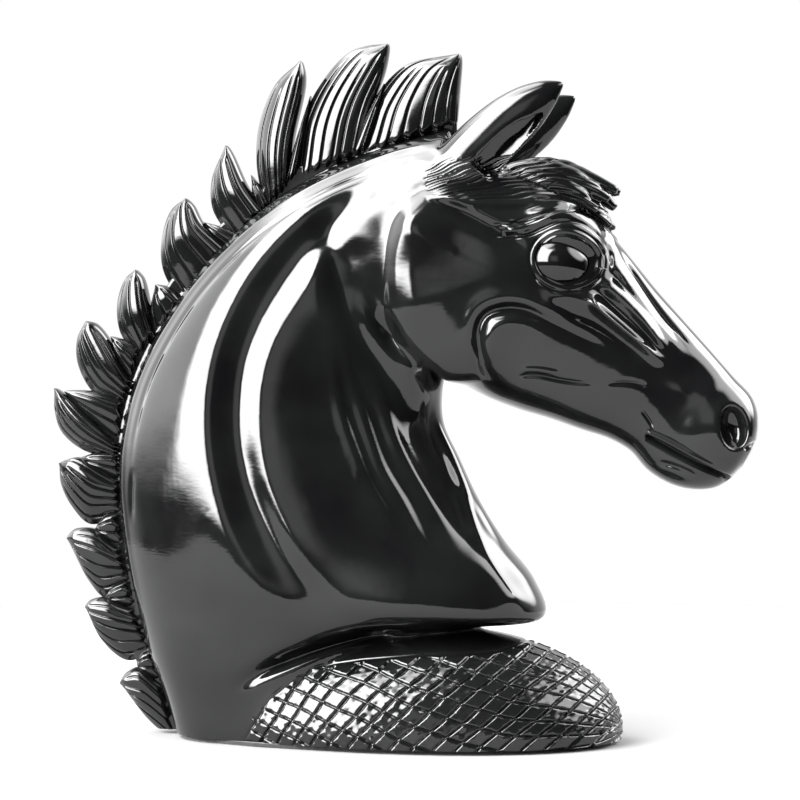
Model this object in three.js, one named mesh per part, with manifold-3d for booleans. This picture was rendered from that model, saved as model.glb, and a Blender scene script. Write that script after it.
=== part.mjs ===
// A horse-head figurine carved from one block of black jade, with two inlaid eyes and a felt sheet
// under its base. Millimetres, +Z up, the horse looks along +X and is symmetric about y = 0.
// The origin is the centre of the face that it rests on.
import * as THREE from "three";
import { mergeVertices } from "three/addons/utils/BufferGeometryUtils.js";
import Module from "manifold-3d";

// Felt under the base: an egg-shaped sheet, inset from the stone's edge.
const FELT_THICKNESS = 1.2;
const FELT = { back: -64, front: 57.5, middle: 8, halfWidth: 30, backPower: 2.2, steps: 48 };

// Mound: an ellipsoid that is cut off flat at the felt.
const MOUND = { centre: [10, 0, 4.5], radiusBack: 64, radiusFront: 53.5, halfWidth: 33.5, height: 28 };

// Neck stations from the foot to the poll: back edge x, z, front edge x, z, half width.
// The front edge runs out under the chest, round its tip and up the throat.
const NECK = [
  [-68, -2, -22, -2, 20],
  [-72.5, 9, -18, 9, 23],
  [-77, 21, -11, 20, 26],
  [-80, 32.5, 2, 28.5, 28],
  [-82, 42, 24, 32.5, 29],
  [-83.5, 51, 41.5, 35.5, 29],
  [-84.5, 61, 38.5, 45.5, 28],
  [-85, 73, 30, 56.5, 27.5],
  [-84, 87.5, 22.5, 68.5, 26.5],
  [-80, 104, 16.8, 80.5, 25.5],
  [-72, 119, 12.5, 90, 24.5],
  [-60, 134, 12, 98.5, 23],
  [-43, 149, 14, 108, 21.5],
  [-22.5, 161.5, 17, 119.5, 20],
  [-2, 169, 21, 133.5, 18.5],
  [14, 173, 26, 146.5, 17],
];
const NECK_POWER = 2.3;

// Head stations from the back of the cheek to the lips: top edge x, z, bottom edge x, z, half width.
const HEAD = [
  [6, 162.5, 1, 138.5, 13],
  [15, 169, 5, 116.5, 18.5],
  [28, 164.5, 13.5, 105, 21],
  [41, 160, 24, 98.2, 21.5],
  [51, 154, 34.5, 94, 21],
  [58.5, 145.5, 43.5, 91.3, 19],
  [65.5, 137, 52, 88.3, 16.5],
  [73.5, 127, 59.8, 85.8, 14.2],
  [80.5, 119, 66, 82.3, 12.8],
  [88, 110.5, 72, 77, 12.2],
  [94.5, 103, 79, 73.5, 12.4],
  [99.6, 97.3, 86, 73, 11.6],
  [101.3, 91.5, 93, 74.8, 10],
  [100.8, 86, 97, 78, 6.5],
];
const HEAD_POWER = 2.4;

// Rounded masses on both sides of the head: centre, radii, and the turn about Y in degrees.
const CHEEK = { centre: [22, 14, 127.5], radii: [17.5, 10.5, 25], turn: 10 };
const BROW = { centre: [47.5, 11.5, 143.5], radii: [13, 9.3, 7], turn: 26 };
const NOSTRIL_FLARE = { centre: [92.5, 7, 90.5], radii: [8, 6, 8.5], turn: 20 };
const CHIN = { centre: [80.5, 0, 78.5], radii: [11, 8.5, 5], turn: 20 };

// Eyes: domed stones in sockets, with a film of cement round each.
const EYE = { centre: [49.9, 15.4, 135.8], radii: [7.6, 5.6, 5.8], turn: 12 };
const EYE_DETAIL = [20, 12];
const CEMENT = 0.3;

// Nostril and mouth cuts.
const NOSTRIL = { centre: [95, 12.6, 90], radii: [2.6, 4.4, 4.4], turn: -10 };
const MOUTH = { corner: [71, 86], lip: [95, 73.6], width: 1.5, side: 9.2 };

// Valleys and ridges that sweep down each side of the neck, as [x, z] points, with the radius of the
// roll and how far it stands out of the surface (a valley's depth is negative).
const NECK_ROLLS = [
  { radius: 5, rise: -3.2, path: [[-10, 153], [-25, 136], [-39, 116], [-42, 96], [-39, 74], [-29, 54], [-17, 42]] },
  { radius: 5, rise: -2.6, path: [[-8, 110], [-3, 94], [4, 78], [14, 62], [28, 46]] },
  { radius: 4, rise: 2, path: [[-13, 140], [-25.5, 120], [-31, 98], [-27.5, 77], [-17, 58], [-1, 44]] },
];
const ROLL_STEPS = 12;
const ROLL_AROUND = 8;

// Ears: an axis from the root to the tip, and half width and half thickness along it.
const EAR = {
  root: [8, 11, 150],
  bend: [34, 17.5, 176],
  tip: [48.2, 16, 183.6],
  sizes: [
    [7.4, 6.4],
    [7.6, 6.2],
    [7.4, 5.6],
    [6.4, 4.8],
    [4.5, 3.4],
    [1.3, 1],
  ],
};
const EAR_CUP = { share: 0.62, from: 0.4, to: 0.95, shift: 4.2 };
const EAR_STEPS = 8;
const EAR_AROUND = 12;

// Forelock: locks of hair that fall side by side over the forehead.
const FORELOCK_FALL = [
  [24, 157],
  [36, 160],
  [46.5, 158.5],
  [54.5, 155],
  [61, 150.5],
];
const FORELOCK = [
  { side: -7.5, lift: -2, curl: 0 },
  { side: -3.6, lift: -0.4, curl: -2.5 },
  { side: 0.6, lift: 0.6, curl: 3.6 },
  { side: 4.4, lift: -0.2, curl: -2 },
  { side: 8, lift: -2.2, curl: 0.5 },
];
const STRAND_RADII = [3.2, 4.4, 4.4, 3.6, 1.6];

// Mane locks from the poll down to the foot, as [x, z] points on their edges: the outer edge runs
// from the neck to the tip, the inner edge from the neck to the hollow below the tip.
const MANE = [
  { outer: [[-8, 162], [-4.5, 186], [3, 193.6], [17.3, 194.8]], inner: [[19.5, 168], [18.7, 184]] },
  { outer: [[-29, 156], [-25.5, 184], [-14.5, 195.6], [-3.4, 198.5]], inner: [[-4, 164], [-3.8, 190]] },
  { outer: [[-45, 146], [-41.6, 171], [-38, 184], [-28.6, 194]], inner: [[-24, 158], [-25.4, 186]] },
  { outer: [[-60, 132], [-54.7, 156], [-53.2, 166], [-50.6, 169.6]], inner: [[-42, 146], [-44.6, 163]] },
  { outer: [[-73, 115], [-70.4, 138], [-68.6, 147.5], [-64.4, 155]], inner: [[-58, 132], [-58.4, 149]] },
  { outer: [[-81, 98], [-83.8, 121], [-82.2, 130], [-78, 134.6]], inner: [[-70, 116], [-72, 129]] },
  { outer: [[-84, 80], [-95, 102], [-96.4, 112], [-94, 119]], inner: [[-79, 99], [-86.6, 115.2]] },
  { outer: [[-84, 60], [-97.6, 81], [-102.2, 92], [-103.2, 100]], inner: [[-83, 82], [-96.5, 99]] },
  { outer: [[-82, 44], [-94.2, 60], [-98.8, 68], [-100.7, 78.6]], inner: [[-84, 65], [-96, 79.4]] },
  { outer: [[-79, 29], [-91.5, 43.5], [-97, 51], [-99.4, 57.2]], inner: [[-83, 49], [-93, 59]] },
  { outer: [[-73, 10], [-84, 21.5], [-90.6, 29], [-94, 36]], inner: [[-80, 33], [-88, 39]] },
  { outer: [[-62, -3], [-71.6, 0.6], [-78, 7.4], [-83.6, 15.2]], inner: [[-74, 14], [-78.6, 19]] },
];
const MANE_THICKNESS = 11;
const MANE_EDGE = 3.4;
const MANE_INSIDE = 8; // how far each lock runs into the neck
const MANE_AROUND = 8;
const MANE_STEPS = 6;
const MANE_END = 0.97; // the share of each lock's edges that is built, so that its tip is blunt

const JADE = new THREE.MeshStandardMaterial({ color: 0x0b0b0c, roughness: 0.12, metalness: 0 });
const EYE_STONE = new THREE.MeshStandardMaterial({ color: 0x050505, roughness: 0.04, metalness: 0 });
const FELT_CLOTH = new THREE.MeshStandardMaterial({ color: 0x121212, roughness: 1, metalness: 0 });

const wasm = await Module();
wasm.setup();

const inPlane = ([x, z]) => new THREE.Vector3(x, 0, z);
const signedPower = (value, power) => Math.sign(value) * Math.abs(value) ** power;
const smoothCurve = (points) => new THREE.CatmullRomCurve3(points, false, "centripetal");

// A closed geometry as a manifold-3d solid.
function toSolid(geometry) {
  const flat = geometry.index ? geometry.toNonIndexed() : geometry;
  const bare = new THREE.BufferGeometry();
  bare.setAttribute("position", flat.getAttribute("position"));
  const merged = mergeVertices(bare, 1e-3);
  const mesh = new wasm.Mesh({
    numProp: 3,
    vertProperties: merged.attributes.position.array,
    triVerts: new Uint32Array(merged.index.array),
  });
  return new wasm.Manifold(mesh);
}

function toGeometry(solid) {
  const mesh = solid.getMesh();
  const points = new Float32Array(mesh.numVert * 3);
  for (let i = 0; i < mesh.numVert; i++) {
    const start = i * mesh.numProp;
    points.set(mesh.vertProperties.subarray(start, start + 3), i * 3);
  }
  const geometry = new THREE.BufferGeometry();
  geometry.setAttribute("position", new THREE.BufferAttribute(points, 3));
  geometry.setIndex(new THREE.BufferAttribute(mesh.triVerts, 1));
  geometry.computeVertexNormals();
  return geometry;
}

// A ring of points from a function of the cosine and sine of the angle.
function ringOf(around, pointAt) {
  return Array.from({ length: around }, (_, i) => {
    const angle = (i / around) * 2 * Math.PI;
    return pointAt(Math.cos(angle), Math.sin(angle));
  });
}

// A closed solid through rings of points, with a fan of faces on each end ring.
function loft(rings) {
  const around = rings[0].length;
  const faces = [];
  for (let r = 0; r < rings.length - 1; r++) {
    for (let i = 0; i < around; i++) {
      const a = r * around + i;
      const b = r * around + ((i + 1) % around);
      faces.push(a, b, a + around, b, b + around, a + around);
    }
  }
  const last = (rings.length - 1) * around;
  for (let i = 1; i < around - 1; i++) {
    faces.push(0, i + 1, i, last, last + i, last + i + 1);
  }
  const geometry = new THREE.BufferGeometry().setFromPoints(rings.flat());
  geometry.setIndex(faces);
  return toSolid(geometry);
}

// Stations of two edges and a half width as smooth curves.
function edgeCurves(stations) {
  return {
    first: smoothCurve(stations.map((s) => new THREE.Vector3(s[0], 0, s[1]))),
    second: smoothCurve(stations.map((s) => new THREE.Vector3(s[2], 0, s[3]))),
    half: new THREE.SplineCurve(stations.map((s, i) => new THREE.Vector2(i, s[4]))),
  };
}

// A solid whose sections are superellipses between the two edges.
function edgeLoft(stations, power, along, around) {
  const { first, second, half } = edgeCurves(stations);
  const rings = [];
  for (let k = 0; k <= along; k++) {
    const a = first.getPoint(k / along);
    const b = second.getPoint(k / along);
    const width = half.getPoint(k / along).y;
    rings.push(
      ringOf(around, (cos, sin) => {
        const point = a.clone().lerp(b, (1 + signedPower(cos, 2 / power)) / 2);
        point.y = width * signedPower(sin, 2 / power);
        return point;
      }),
    );
  }
  return loft(rings);
}

// The half width of the neck at a point of the X-Z plane.
function neckSide(target) {
  const { first, second, half } = edgeCurves(NECK);
  const steps = 120;
  let best = { miss: Infinity };
  for (let k = 0; k <= steps; k++) {
    const chord = new THREE.Line3(first.getPoint(k / steps), second.getPoint(k / steps));
    const share = chord.closestPointToPointParameter(target, true);
    const miss = chord.at(share, new THREE.Vector3()).distanceTo(target);
    if (miss < best.miss) best = { miss, share, width: half.getPoint(k / steps).y };
  }
  const across = Math.abs(2 * best.share - 1);
  return best.width * (1 - across ** NECK_POWER) ** (1 / NECK_POWER);
}

// A tapered roll that follows a path over the side of the neck.
function neckRoll({ radius, rise, path }, side) {
  const line = smoothCurve(path.map(inPlane));
  const shift = rise < 0 ? radius + rise : rise - radius;
  const rings = [];
  for (let k = 0; k <= ROLL_STEPS; k++) {
    const share = k / ROLL_STEPS;
    const taper = 0.25 + 0.75 * Math.sin(Math.PI * share) ** 0.6;
    const middle = line.getPoint(share);
    const across = new THREE.Vector3(0, 1, 0).cross(line.getTangent(share));
    middle.y = side * (neckSide(middle) + shift * taper);
    rings.push(
      ringOf(ROLL_AROUND, (cos, sin) => {
        const point = middle.clone().addScaledVector(across, cos * radius * taper);
        point.y += sin * radius * taper;
        return point;
      }),
    );
  }
  return loft(rings);
}

// An ellipsoid turned about Y, on the side of the head that the sign says.
function ellipsoid({ centre, radii, turn }, side, grow = 0, detail = [12, 8]) {
  const geometry = new THREE.SphereGeometry(1, ...detail);
  geometry.scale(...radii.map((radius) => radius + grow));
  geometry.rotateY(THREE.MathUtils.degToRad(turn));
  geometry.translate(centre[0], centre[1] * side, centre[2]);
  return toSolid(geometry);
}

function moundSolid() {
  const geometry = new THREE.SphereGeometry(1, 28, 14);
  const position = geometry.getAttribute("position");
  for (let i = 0; i < position.count; i++) {
    const radius = position.getX(i) < 0 ? MOUND.radiusBack : MOUND.radiusFront;
    position.setX(i, position.getX(i) * radius);
  }
  geometry.scale(1, MOUND.halfWidth, MOUND.height);
  geometry.translate(...MOUND.centre);
  return toSolid(geometry);
}

// A lock of the mane: a leaf between its two edges, thickest along its middle.
function maneLock({ outer, inner }) {
  const tip = outer[outer.length - 1];
  const outerEdge = smoothCurve(outer.map(inPlane));
  const innerEdge = smoothCurve([...inner, tip].map(inPlane));
  const leafRing = (a, b, thickness) =>
    ringOf(MANE_AROUND, (cos, sin) => {
      const point = a.clone().lerp(b, (1 + cos) / 2);
      point.y = (thickness / 2) * sin;
      return point;
    });
  const outerRoot = inPlane(outer[0]);
  const innerRoot = inPlane(inner[0]);
  const inward = outerRoot.clone().add(innerRoot).multiplyScalar(0.5).sub(inPlane(tip));
  inward.setLength(MANE_INSIDE);
  const rings = [leafRing(outerRoot.add(inward), innerRoot.add(inward), MANE_THICKNESS)];
  for (let k = 0; k <= MANE_STEPS; k++) {
    const share = (k / MANE_STEPS) * MANE_END;
    const thickness = THREE.MathUtils.lerp(MANE_THICKNESS, MANE_EDGE, share ** 1.5);
    rings.push(leafRing(outerEdge.getPoint(share), innerEdge.getPoint(share), thickness));
  }
  return loft(rings);
}

// A part of an ear's length: the ear itself, or the smaller cup that is cut out of its front.
function earPart(side, { share, from, to, shift }) {
  const place = ([x, y, z]) => new THREE.Vector3(x, y * side, z);
  const axis = new THREE.QuadraticBezierCurve3(place(EAR.root), place(EAR.bend), place(EAR.tip));
  const sizes = new THREE.SplineCurve(EAR.sizes.map((size) => new THREE.Vector2(...size)));
  const widest = EAR.sizes[1][0];
  const rings = [];
  for (let k = 0; k <= EAR_STEPS; k++) {
    const t = THREE.MathUtils.lerp(from, to, k / EAR_STEPS);
    const size = sizes.getPoint(t);
    const along = axis.getTangent(t);
    const wide = new THREE.Vector3(0, 1, 0).cross(along).normalize();
    const thick = along.clone().cross(wide);
    const opening = wide.clone().multiplyScalar(0.75).addScaledVector(thick, 0.66 * side);
    const centre = axis.getPoint(t).addScaledVector(opening, shift * (size.x / widest));
    rings.push(
      ringOf(EAR_AROUND, (cos, sin) =>
        centre
          .clone()
          .addScaledVector(wide, cos * size.x * share)
          .addScaledVector(thick, sin * size.y * share),
      ),
    );
  }
  return loft(rings);
}

function earSolid(side) {
  const body = earPart(side, { share: 1, from: 0, to: 1, shift: 0 });
  return body.subtract(earPart(side, EAR_CUP));
}

// A lock of the forelock, which thins and curls towards its end.
function strandSolid({ side, lift, curl }) {
  const ends = FORELOCK_FALL.length - 1;
  const points = FORELOCK_FALL.map(([x, z], i) => {
    const share = i / ends;
    return new THREE.Vector3(x + curl * share * share, side * (0.5 + 0.6 * share), z + lift);
  });
  const fall = smoothCurve(points);
  const radii = new THREE.SplineCurve(STRAND_RADII.map((r, i) => new THREE.Vector2(i, r)));
  const steps = 7;
  const rings = [];
  for (let k = 0; k <= steps; k++) {
    const radius = radii.getPoint(k / steps).y;
    const up = new THREE.Vector3(0, 1, 0).cross(fall.getTangent(k / steps)).normalize();
    const middle = fall.getPoint(k / steps);
    rings.push(
      ringOf(7, (cos, sin) => {
        const point = middle.clone().addScaledVector(up, cos * radius);
        point.y += sin * radius * 0.8;
        return point;
      }),
    );
  }
  return loft(rings);
}

// The mouth: a slot on one side, from its corner to the front of the lips.
function mouthCut(side) {
  const from = new THREE.Vector2(...MOUTH.corner);
  const run = new THREE.Vector2(...MOUTH.lip).sub(from);
  const outside = 12;
  const slot = new THREE.BoxGeometry(run.length(), outside, MOUTH.width);
  slot.rotateY(-run.angle());
  const middle = from.addScaledVector(run, 0.5);
  slot.translate(middle.x, side * (MOUTH.side + outside / 2), middle.y);
  return toSolid(slot);
}

// Everything below the base's plane, so that the stone ends flat on the felt.
function underBase() {
  const depth = 60;
  const slab = new THREE.BoxGeometry(300, 200, depth);
  slab.translate(0, 0, FELT_THICKNESS - depth / 2);
  return toSolid(slab);
}

function bustSolid() {
  const sides = [-1, 1];
  const ridges = NECK_ROLLS.filter((roll) => roll.rise > 0);
  const valleys = NECK_ROLLS.filter((roll) => roll.rise < 0);
  const pieces = [
    edgeLoft(NECK, NECK_POWER, 26, 22),
    edgeLoft(HEAD, HEAD_POWER, 20, 20),
    moundSolid(),
    ellipsoid(CHIN, 0),
    ...MANE.map(maneLock),
    ...FORELOCK.map(strandSolid),
  ];
  const cuts = [underBase()];
  for (const side of sides) {
    pieces.push(...[CHEEK, BROW, NOSTRIL_FLARE].map((mass) => ellipsoid(mass, side)));
    pieces.push(earSolid(side), ...ridges.map((roll) => neckRoll(roll, side)));
    cuts.push(...valleys.map((roll) => neckRoll(roll, side)));
    cuts.push(ellipsoid(EYE, side, CEMENT, EYE_DETAIL), ellipsoid(NOSTRIL, side), mouthCut(side));
  }
  const whole = pieces.reduce((sum, piece) => sum.add(piece));
  return cuts.reduce((rest, cut) => rest.subtract(cut), whole);
}

// The felt's outline is a half ellipse in front and a narrower superellipse behind.
function feltGeometry() {
  const shape = new THREE.Shape();
  const outline = ringOf(FELT.steps, (cos, sin) => {
    const power = cos < 0 ? FELT.backPower : 2;
    const reach = cos < 0 ? FELT.middle - FELT.back : FELT.front - FELT.middle;
    const x = FELT.middle + signedPower(cos, 2 / power) * reach;
    return new THREE.Vector2(x, signedPower(sin, 2 / power) * FELT.halfWidth);
  });
  shape.setFromPoints(outline);
  return new THREE.ExtrudeGeometry(shape, { depth: FELT_THICKNESS, bevelEnabled: false });
}

function named(name, geometry, material) {
  const mesh = new THREE.Mesh(geometry, material);
  mesh.name = name;
  return mesh;
}

const group = new THREE.Group();
group.add(named("carved_bust", toGeometry(bustSolid()), JADE));
group.add(named("right_eye", toGeometry(ellipsoid(EYE, -1, 0, EYE_DETAIL)), EYE_STONE));
group.add(named("left_eye", toGeometry(ellipsoid(EYE, 1, 0, EYE_DETAIL)), EYE_STONE));
group.add(named("base_felt", feltGeometry(), FELT_CLOTH));

export default group;
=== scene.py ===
"""A horse's head and neck carved from one block of black jade, polished, on a pale floor.

The bust is worked as a carver works it: rough masses are merged into one smooth body, broad folds are
cut into that, and the fine creases and scales are engraved last. The mane's locks are meshes of
their own, joined to the body. Sculpting is in millimetres and in the CAD's frame. Only the finished
meshes are in metres.
"""

import math

import bmesh
import bpy
import numpy as np
import openvdb as vdb
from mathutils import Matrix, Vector

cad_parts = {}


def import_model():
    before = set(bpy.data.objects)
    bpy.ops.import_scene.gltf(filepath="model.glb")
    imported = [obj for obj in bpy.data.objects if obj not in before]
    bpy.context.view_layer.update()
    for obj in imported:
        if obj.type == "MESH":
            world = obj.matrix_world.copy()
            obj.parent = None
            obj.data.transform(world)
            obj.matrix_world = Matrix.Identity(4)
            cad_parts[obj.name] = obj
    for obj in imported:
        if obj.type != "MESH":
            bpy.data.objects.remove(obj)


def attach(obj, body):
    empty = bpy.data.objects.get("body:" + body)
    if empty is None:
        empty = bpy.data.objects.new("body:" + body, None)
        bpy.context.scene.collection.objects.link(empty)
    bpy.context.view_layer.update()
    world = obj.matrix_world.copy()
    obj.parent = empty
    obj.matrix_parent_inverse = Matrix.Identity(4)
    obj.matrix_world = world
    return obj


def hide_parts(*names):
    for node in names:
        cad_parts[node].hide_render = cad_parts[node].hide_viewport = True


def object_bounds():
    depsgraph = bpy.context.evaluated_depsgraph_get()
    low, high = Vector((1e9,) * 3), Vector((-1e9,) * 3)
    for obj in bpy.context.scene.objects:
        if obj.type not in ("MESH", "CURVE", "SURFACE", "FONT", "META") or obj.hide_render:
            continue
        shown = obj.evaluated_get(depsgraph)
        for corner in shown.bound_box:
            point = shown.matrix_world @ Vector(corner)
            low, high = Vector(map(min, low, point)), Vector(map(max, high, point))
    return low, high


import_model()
cad_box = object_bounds()

MM = 0.001
BASE_Z = 1.2  # the felt's top, where the stone starts

# Neck stations from the foot to the poll: back edge x, z, front edge x, z, half width. They are
# close to the CAD's. The back edge is further in, to leave room for the crest that carries the mane.
NECK = [
    (-63, -4, -22, -4, 20),
    (-67, 9, -18, 9, 22.8),
    (-71.5, 21, -11, 20, 25.5),
    (-75, 32.5, 2, 28.5, 27.2),
    (-77.5, 42, 24, 32.5, 28.7),
    (-79.5, 51, 41.5, 35.5, 29.7),
    (-81, 61, 38.5, 45.5, 29.1),
    (-82, 72.6, 30, 56.5, 27.9),
    (-81.1, 87, 22.5, 68.5, 26.5),
    (-76.8, 103.2, 16.8, 80.5, 25.5),
    (-69.2, 118, 12.5, 90, 24.5),
    (-58.2, 133.1, 12, 98.5, 23),
    (-42, 148.3, 14, 108, 21.5),
    (-22.1, 161, 17, 119.5, 20),
    (-2, 169, 21, 133.5, 18.5),
    (14, 173, 26, 146.5, 17),
]
# Head stations from the back of the cheek to the lips: top edge x, z, bottom edge x, z, half width.
HEAD = [
    (6, 162.5, 1, 138.5, 13),
    (15, 169, 5, 116.5, 18.5),
    (28, 164.5, 13.5, 105, 21),
    (41, 160, 24, 98.2, 21.5),
    (51, 154, 34.5, 94, 21),
    (58.5, 145.5, 43.5, 91.3, 19),
    (65.5, 137, 52, 88.3, 16.5),
    (73.5, 127, 59.8, 85.8, 14.2),
    (80.5, 119, 66, 82.3, 12.8),
    (88, 110.5, 72, 77, 12.2),
    (94.5, 103, 79, 73.5, 12.4),
    (99.6, 97.3, 86, 73, 11.6),
    (101.3, 91.5, 93, 74.8, 10),
    (100.8, 86, 97, 78, 6.5),
]
NECK_POWER = 2.3
HEAD_POWER = 2.4
CHEEK_POWER = 2.6

# Rounded masses, mirrored to both sides: centre, radii, and the turn about Y in degrees.
CHEEK = ((17.5, 13.2, 127.5), (21.5, 10.4, 25.5), 10)
BROW = ((47.5, 11.5, 143.5), (13, 9.3, 7), 26)
NOSTRIL_FLARE = ((90, 6.3, 89.6), (8.2, 5.8, 8), 20)
CHIN = ((80.5, 0, 78.5), (11, 8.5, 5), 20)
NOSTRIL = ((95.2, 12.4, 89), (3.8, 5.4, 6.2), -10)

# How wide the fillet is where one mass meets the next.
CHIN_FILLET, FLARE_FILLET, BROW_FILLET, CHEEK_FILLET = 7, 8, 4, 8
HEAD_FILLET = 1.6
CREST_FILLET = 0.9
EAR_FILLET = 2.5
EAR_RIM = 0.6
LOCK_FILLET = 0.9
NOSTRIL_RIM = 1.2
MOUND_FILLET = (9.2, 1.2)  # at the flank and in front
MOUND_FILLET_ENDS = (-34, -12)  # x between which it narrows

EYE_AT = (49.9, 135)  # x, z
EYE_SIDE = 21.0  # about how far from the middle plane the skin is there
EYE_HALF = (7.5, 6.3)
EYE_TURN = 12  # degrees
EYE_CURVE = 10  # the dome's radius
EYE_PROUD = 2.4
EYE_DEEP = 6
EYE_SEAT = 1.5  # depth at which the plug starts to be straight
EYE_GAP = 0.2

# The grid that the body is merged on. Its second axis covers the right half and a little more.
CELL = 0.7
BAND = 9
LOW = np.array([-110, -39, -6])
HIGH = np.array([108, 6, 206])
origin = np.floor(LOW / CELL).astype(int)
shape = tuple(np.ceil(HIGH / CELL).astype(int) - origin)
middle_row = -int(origin[1])
transform = vdb.createLinearTransform(voxelSize=CELL)


# ---- curves and solids


def spline_at(points, t):
    """Points and tangents at t, counted in spans, on a centripetal Catmull-Rom curve."""
    p = np.asarray(points, float)
    ends = np.vstack([2 * p[0] - p[1], p, 2 * p[-1] - p[-2]])
    i = np.clip(t.astype(int), 0, len(p) - 2)
    w = (t - i)[:, None]
    a, b, c, d = ends[i], ends[i + 1], ends[i + 2], ends[i + 3]
    ab, bc, cd = (np.sqrt(np.linalg.norm(q, axis=1, keepdims=True)) for q in (b - a, c - b, d - c))
    start = ((b - a) / ab - (c - a) / (ab + bc) + (c - b) / bc) * bc
    end = ((c - b) / bc - (d - b) / (bc + cd) + (d - c) / cd) * bc
    first, second = 2 * (b - c) + start + end, 3 * (c - b) - 2 * start - end
    return first * w**3 + second * w**2 + start * w + b, 3 * first * w**2 + 2 * second * w + start


def spline(points, count):
    return spline_at(points, np.linspace(0, len(points) - 1, count))[0]


def values(numbers, count):
    """count values on a smooth curve through numbers."""
    steps = np.arange(len(numbers), dtype=float)
    return spline(np.column_stack([steps, numbers]), count)[:, 1]


def signed_power(v, power):
    return np.sign(v) * np.abs(v) ** power


def unit(rows):
    return rows / np.linalg.norm(rows, axis=1, keepdims=True)


def round_trip(count):
    """Angles all the way round, without the last, which is the first again."""
    return np.linspace(0, 2 * math.pi, count, endpoint=False)


def cos_sin(degrees):
    return math.cos(math.radians(degrees)), math.sin(math.radians(degrees))


def closed(rings):
    """Points, quads and triangles of a closed loft through rings, an array (rows, around, 3)."""
    rows, around, _ = rings.shape
    points = np.vstack([rings.reshape(-1, 3), rings[0].mean(0), rings[-1].mean(0)])
    row = np.arange(rows - 1)[:, None] * around
    col = np.arange(around)[None, :]
    a = row + col
    b = row + (col + 1) % around
    quads = np.stack([a, b, b + around, a + around], -1).reshape(-1, 4)
    first = np.arange(around)
    after = (first + 1) % around
    last = (rows - 1) * around
    start = np.column_stack([np.full(around, rows * around), after, first])
    end = np.column_stack([np.full(around, rows * around + 1), last + first, last + after])
    return points, quads, np.vstack([start, end])


def edge_loft(stations, power, rows=220, around=140):
    s = np.array(stations, float)
    first = spline(s[:, 0:2], rows)
    second = spline(s[:, 2:4], rows)
    half = values(s[:, 4], rows)
    angle = round_trip(around)
    across = (1 + signed_power(np.cos(angle), 2 / power)) / 2
    side = signed_power(np.sin(angle), 2 / power)
    rings = np.empty((rows, around, 3))
    for column, axis in ((0, 0), (1, 2)):
        rings[:, :, axis] = first[:, None, column] * (1 - across) + second[:, None, column] * across
    rings[:, :, 1] = half[:, None] * side
    return closed(rings)


def turned(points, degrees):
    """Points turned about Y."""
    c, s = cos_sin(degrees)
    x, y, z = points[..., 0], points[..., 1], points[..., 2]
    return np.stack([x * c + z * s, y, z * c - x * s], -1)


def ellipsoid(mass, side=-1, rows=48, around=72, power=2):
    """A rounded mass on one side, whose corners fill out as power rises above 2."""
    centre, radii, degrees = mass
    down = np.linspace(0.02, math.pi - 0.02, rows)[:, None]
    angle = round_trip(around)[None, :]
    ball = np.stack(
        [np.sin(down) * np.cos(angle), -np.sin(down) * np.sin(angle), np.cos(down) + 0 * angle], -1
    )
    ball = signed_power(ball, 2 / power)
    points = turned(ball * np.array(radii, float), degrees)
    return closed(points + np.array(centre) * (1, side, 1))


def tube(path, radii, count=40, around=32):
    """A loft of circles along path."""
    line = spline(path, count)
    along = unit(np.gradient(line, axis=0))
    u = unit(np.cross(np.cross(along, (0, 1, 0)), along))
    v = np.cross(along, u)
    radius = values(radii, count)[:, None, None]
    angle = round_trip(around)[None, :, None]
    circles = radius * np.cos(angle) * u[:, None] + radius * np.sin(angle) * v[:, None]
    return closed(line[:, None] + circles)


# ---- the body as a distance field


def field(mesh):
    points, quads, triangles = mesh
    grid = vdb.FloatGrid.createLevelSetFromPolygons(
        points.astype(np.float32),
        triangles=triangles.astype(np.uint32),
        quads=quads.astype(np.uint32),
        transform=transform,
        halfWidth=BAND,
    )
    array = np.empty(shape, np.float32)
    grid.copyToArray(array, ijk=tuple(int(v) for v in origin))
    return array


def merge(a, b, radius):
    near = np.maximum(radius - np.abs(a - b), 0) / radius
    return np.minimum(a, b) - near**3 * (radius / 6)


def cut(a, b, radius):
    return -merge(-a, b, radius)


def ease(v, low, high):
    t = np.clip((v - low) / (high - low), 0, 1)
    return t * t * (3 - 2 * t)


def follow(points, x, z):
    """Distance, side and share of the way along a curve in the X-Z plane, for each x, z."""
    last = len(points) - 1
    stops = np.linspace(0, last, 6 * last + 1)
    line = spline_at(points, stops)[0]
    best = np.full(x.shape, np.inf)
    t = np.zeros(x.shape)
    for stop, (px, pz) in zip(stops, line):
        d = (x - px) ** 2 + (z - pz) ** 2
        t = np.where(d < best, stop, t)
        best = np.minimum(d, best)
    for _ in range(3):
        at, way = spline_at(points, t)
        off = ((x - at[:, 0]) * way[:, 0] + (z - at[:, 1]) * way[:, 1]) / (way**2).sum(1)
        t = np.clip(t + np.clip(off, -0.2, 0.2), 0, last)
    at, way = spline_at(points, t)
    side = way[:, 0] * (z - at[:, 1]) - way[:, 1] * (x - at[:, 0])
    return np.hypot(x - at[:, 0], z - at[:, 1]), side, t / last


def stroke(x, z, points, height, left, right, start, end):
    """A ridge, or with a negative height a groove, whose slopes are left and right wide."""
    reach = 3 * max(left, right)
    p = np.asarray(points, float)
    low, high = p.min(0) - reach, p.max(0) + reach
    near = (x > low[0]) & (x < high[0]) & (z > low[1]) & (z < high[1])
    out = np.zeros(x.shape)
    if not near.any():
        return out
    d, side, share = follow(points, x[near], z[near])
    width = np.where(side > 0, left, right)
    fade = ease(share, 0, max(start, 1e-6)) * ease(1 - share, 0, max(end, 1e-6))
    out[near] = height * fade * np.exp(-((d / width) ** 2))
    return out


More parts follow.
